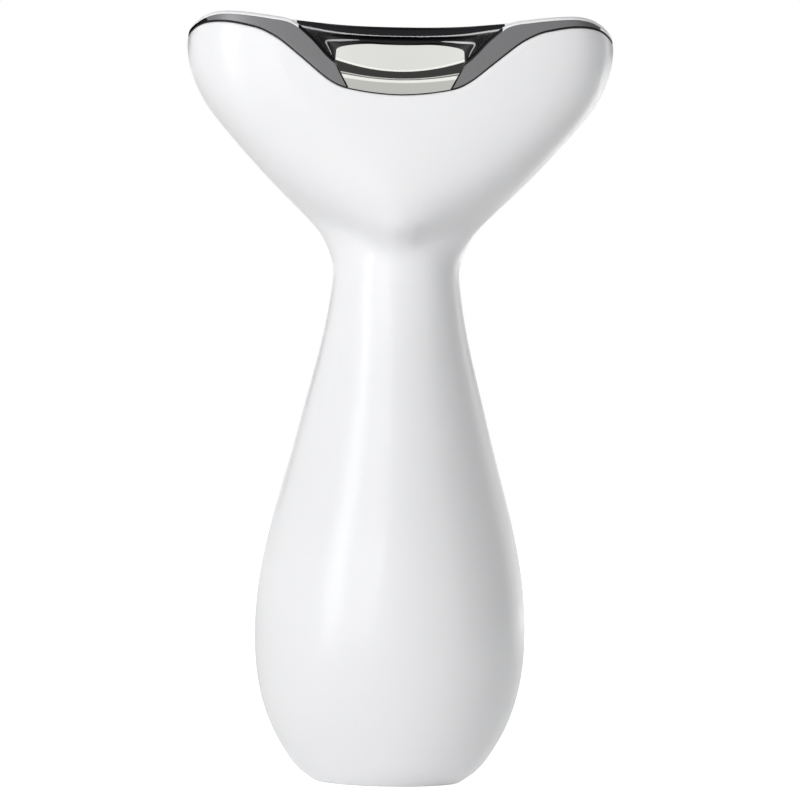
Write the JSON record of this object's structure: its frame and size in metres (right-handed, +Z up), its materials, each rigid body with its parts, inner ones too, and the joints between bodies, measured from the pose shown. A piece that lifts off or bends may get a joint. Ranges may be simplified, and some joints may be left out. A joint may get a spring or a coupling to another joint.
{
  "type": "facial toning device",
  "caption": "Handheld facial toning device: teardrop handle that stands on its base, winged head with dark bezel and polished steel contact plate, push button on the back.",
  "frame": {"origin": "centre of the flat base that the device stands on", "axes": "+Z up the handle to the head, -Y is the front with the contact plate, +X to the right"},
  "size_m": [0.0916, 0.054, 0.165],
  "materials": {
    "white_shell": "satin gloss",
    "white_cap": "fine texture",
    "button_white": "satin gloss",
    "socket_steel": "stamped",
    "black_plastic": "moulded",
    "grey_plastic": "moulded",
    "ivory_plastic": "moulded",
    "green_board": "solder mask",
    "black_chip": "moulded epoxy",
    "cell_steel": "drawn can",
    "battery_wrap": "shrink film",
    "nickel": "strip",
    "screw_steel": "zinc plated",
    "copper": "enamelled winding",
    "tan_ceramic": "ceramic",
    "diffuser": "milky",
    "dark_plating": "dark plated, polished",
    "black_plating": "black plated, polished",
    "black_gasket": "moulded",
    "switch_red": "moulded",
    "light_chip": "phosphor",
    "polished_steel": "polished",
    "amber_film": "film",
    "gold_pin": "gold plated",
    "motor_steel": "drawn",
    "magnet": "sintered",
    "tungsten": "sintered",
    "red_wire": "insulated",
    "black_wire": "insulated",
    "yellow_wire": "insulated",
    "white_wire": "insulated",
    "blue_wire": "insulated"
  },
  "bodies": {
    "housing": {"front_shell": "white_shell", "rear_shell": "white_shell", "base_cap": "white_cap", "usb_socket_shell": "socket_steel", "usb_tongue": "black_plastic", "charge_board": "green_board", "charge_parts": "black_chip", "chassis": "grey_plastic", "battery_cell": "cell_steel", "battery_sleeve": "battery_wrap", "battery_tabs": "nickel", "main_board": "green_board", "board_screws": "screw_steel", "controller_chip": "black_chip", "charger_chip": "black_chip", "pulse_coil": "copper", "capacitors": "tan_ceramic", "lead_connector": "ivory_plastic", "battery_connector": "ivory_plastic", "light_ring": "diffuser", "trim_ring": "dark_plating", "key_board": "green_board", "key_screws": "screw_steel", "switch_body": "black_plastic", "indicator_lights": "light_chip", "head_gasket": "black_gasket", "head_bezel": "dark_plating", "contact_saddle": "black_plating", "plate_insulator": "black_gasket", "contact_plate": "polished_steel", "heater_film": "amber_film", "heat_sensor": "black_chip", "head_carrier": "grey_plastic", "carrier_screws": "screw_steel", "contact_pins": "gold_pin", "motor_can": "motor_steel", "motor_end_cap": "ivory_plastic", "motor_magnet": "magnet", "motor_boot": "black_gasket", "motor_lead_red": "red_wire", "motor_lead_black": "black_wire", "electrode_leads": "yellow_wire", "heater_leads": "white_wire", "battery_lead_red": "red_wire", "battery_lead_black": "black_wire", "charge_leads": "blue_wire", "key_leads": "white_wire"},
    "button": {"button_cap": "button_white"},
    "switch_plunger_body": {"switch_plunger": "switch_red"},
    "rotor": {"motor_shaft": "motor_steel", "rotor_core": "copper", "eccentric_weight": "tungsten"}
  },
  "joints": [
    {"name": "button_press", "type": "slide", "parent": "housing", "child": "button", "axis": [0, -0.974, -0.2265], "range_m": [0, 0.0005], "stiffness_N_per_m": 3000, "springref_m": -0.0002},
    {"name": "switch_press", "type": "slide", "parent": "housing", "child": "switch_plunger_body", "axis": [0, -0.974, -0.2265], "range_m": [0, 0.0005]},
    {"name": "rotor_spin", "type": "hinge", "parent": "housing", "child": "rotor", "pos_m": [0, -0.004, 0.134], "axis": [1, 0, 0], "continuous": true}
  ],
  "couplings": [
    {"joint": "switch_press", "follows": "button_press", "ratio": 1}
  ]
}
